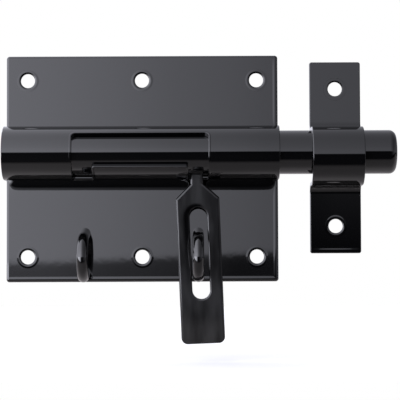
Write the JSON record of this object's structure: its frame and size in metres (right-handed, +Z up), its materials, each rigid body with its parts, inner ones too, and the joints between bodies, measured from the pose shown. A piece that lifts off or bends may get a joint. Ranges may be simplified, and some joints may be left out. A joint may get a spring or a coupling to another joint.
{
  "type": "padbolt",
  "caption": "Black steel padbolt: round bolt in a pressed barrel on a back plate, with a slotted drop lever, wire staples for a padlock and a separate arched keeper.",
  "frame": {"origin": "centre of the back plate's back face, which lies on the gate or door", "axes": "+X along the bolt towards the keeper, +Y into the gate, +Z up"},
  "size_m": [0.1708, 0.0246, 0.1272],
  "materials": {
    "black_enamel": "gloss black stoved enamel on steel"
  },
  "bodies": {
    "plate": {"back_plate": "black_enamel", "barrel": "black_enamel", "staple_open": "black_enamel", "staple_locked": "black_enamel", "keeper": "black_enamel"},
    "bolt": {"bolt_rod": "black_enamel", "lever": "black_enamel"}
  },
  "joints": [
    {"name": "bolt_turn", "type": "hinge", "parent": "plate", "child": "bolt", "pos_m": [0.0236, -0.01175, 0.0063], "axis": [-1, 0, 0], "range_deg": [0, 126]}
  ]
}
